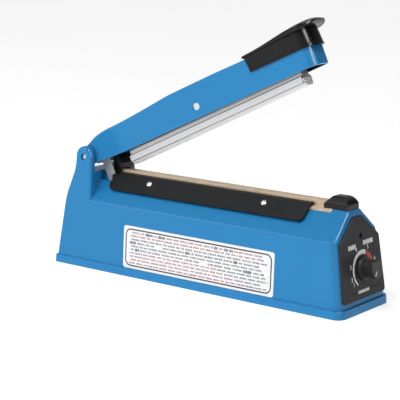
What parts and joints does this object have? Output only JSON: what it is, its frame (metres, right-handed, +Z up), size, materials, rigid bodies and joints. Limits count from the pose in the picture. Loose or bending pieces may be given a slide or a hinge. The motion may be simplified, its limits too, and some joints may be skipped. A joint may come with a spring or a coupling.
{
  "type": "impulse heat sealer",
  "caption": "Bench heat sealer with a hinged press arm over a heated bed, dished grip, timer knob on the end panel and screwed clamp plates along the ridge.",
  "frame": {"origin": "centre of the footprint, on the surface that the base stands on", "axes": "+X along the body towards the timer panel and the handle, +Z up, -Y the side with the rating label; the arm is stored raised"},
  "size_m": [0.3171, 0.0736, 0.2314],
  "materials": {
    "blue_enamel": "satin blue enamel",
    "black_steel_plate": "matt black powder coat",
    "zinc_steel": "bright zinc plate",
    "spring_steel": "drawn wire",
    "foot_rubber": "matt black",
    "bed_aluminium": "satin extrusion",
    "glass_tape": "woven glass tape",
    "nichrome": "rolled ribbon",
    "brass": "turned",
    "ptfe_cloth": "brown coated weave, slight sheen",
    "gloss_black": "semi-gloss moulding",
    "label_white": "satin film",
    "panel_black": "fine matt film",
    "dial_white": "printed ink",
    "dial_red": "printed ink",
    "lamp_red": "tinted lens",
    "pot_grey": "moulded",
    "knob_black": "fine matt moulding",
    "silicone_white": "soft white silicone",
    "core_steel": "varnished laminations",
    "coil_tape": "yellow winding tape",
    "board_green": "solder mask",
    "relay_blue": "moulded case",
    "capacitor_sleeve": "shrink sleeve",
    "fuse_glass": "clear tube"
  },
  "bodies": {
    "casing": {"body_shell": "blue_enamel", "bottom_plate": "black_steel_plate", "clamp_far": "black_steel_plate", "clamp_near": "black_steel_plate", "bottom_screws": "zinc_steel", "hinge_washers": "zinc_steel", "terminal_screws": "zinc_steel", "clamp_screws": "zinc_steel", "strap_screws": "zinc_steel", "transformer_strap": "zinc_steel", "switch_screws": "zinc_steel", "board_posts": "zinc_steel", "return_spring": "spring_steel", "hinge_pin": "spring_steel", "rubber_feet": "foot_rubber", "cord_grommet": "foot_rubber", "bed_bar": "bed_aluminium", "insulating_tape": "glass_tape", "heating_element": "nichrome", "element_terminals": "brass", "pot_nut": "brass", "fuse_clips": "brass", "ptfe_sheet": "ptfe_cloth", "front_cap": "gloss_black", "rear_cap": "gloss_black", "label_plate": "label_white", "control_panel": "panel_black", "dial_scale": "dial_white", "dial_red_zone": "dial_red", "indicator_lamp": "lamp_red", "timer_pot": "pot_grey", "microswitch": "pot_grey", "transformer_core": "core_steel", "transformer_coil": "coil_tape", "circuit_board": "board_green", "relay": "relay_blue", "board_capacitors": "capacitor_sleeve", "fuse": "fuse_glass"},
    "arm": {"arm_shell": "blue_enamel", "arm_bracket": "zinc_steel", "bracket_screws": "zinc_steel", "rocker_pin": "zinc_steel", "rocker_nut": "zinc_steel", "handle": "gloss_black", "handle_screws": "zinc_steel"},
    "pressing_bar_assembly": {"pressing_bar": "bed_aluminium", "silicone_strip": "silicone_white"},
    "knob_assembly": {"knob": "knob_black", "knob_pointer": "dial_white", "pot_shaft": "zinc_steel"},
    "switch_lever_body": {"switch_lever": "zinc_steel"}
  },
  "joints": [
    {"name": "arm_hinge", "type": "hinge", "parent": "casing", "child": "arm", "pos_m": [-0.1227, 0, 0.0974], "axis": [0, 1, 0], "range_deg": [0, 20.49], "stiffness_Nm_per_rad": 1.6, "springref_deg": -37.24, "deforming": ["return_spring"]},
    {"name": "bar_rocker", "type": "hinge", "parent": "arm", "child": "pressing_bar_assembly", "pos_m": [-0.00933, 0, 0.15055], "axis": [0, 1, 0], "range_deg": [0, 4.59]},
    {"name": "switch_lever_press", "type": "hinge", "parent": "casing", "child": "switch_lever_body", "pos_m": [-0.125, -0.0121, 0.0683], "axis": [0, 1, 0], "range_deg": [0, 9.6]},
    {"name": "knob_turn", "type": "hinge", "parent": "casing", "child": "knob_assembly", "pos_m": [0.14757, 0.0012, 0.03402], "axis": [-0.992, 0, -0.1263], "range_deg": [0, 218]}
  ],
  "couplings": [
    {"joint": "bar_rocker", "follows": "arm_hinge", "ratio": 0.22338},
    {"joint": "switch_lever_press", "follows": "arm_hinge", "ratio": 0.455}
  ]
}
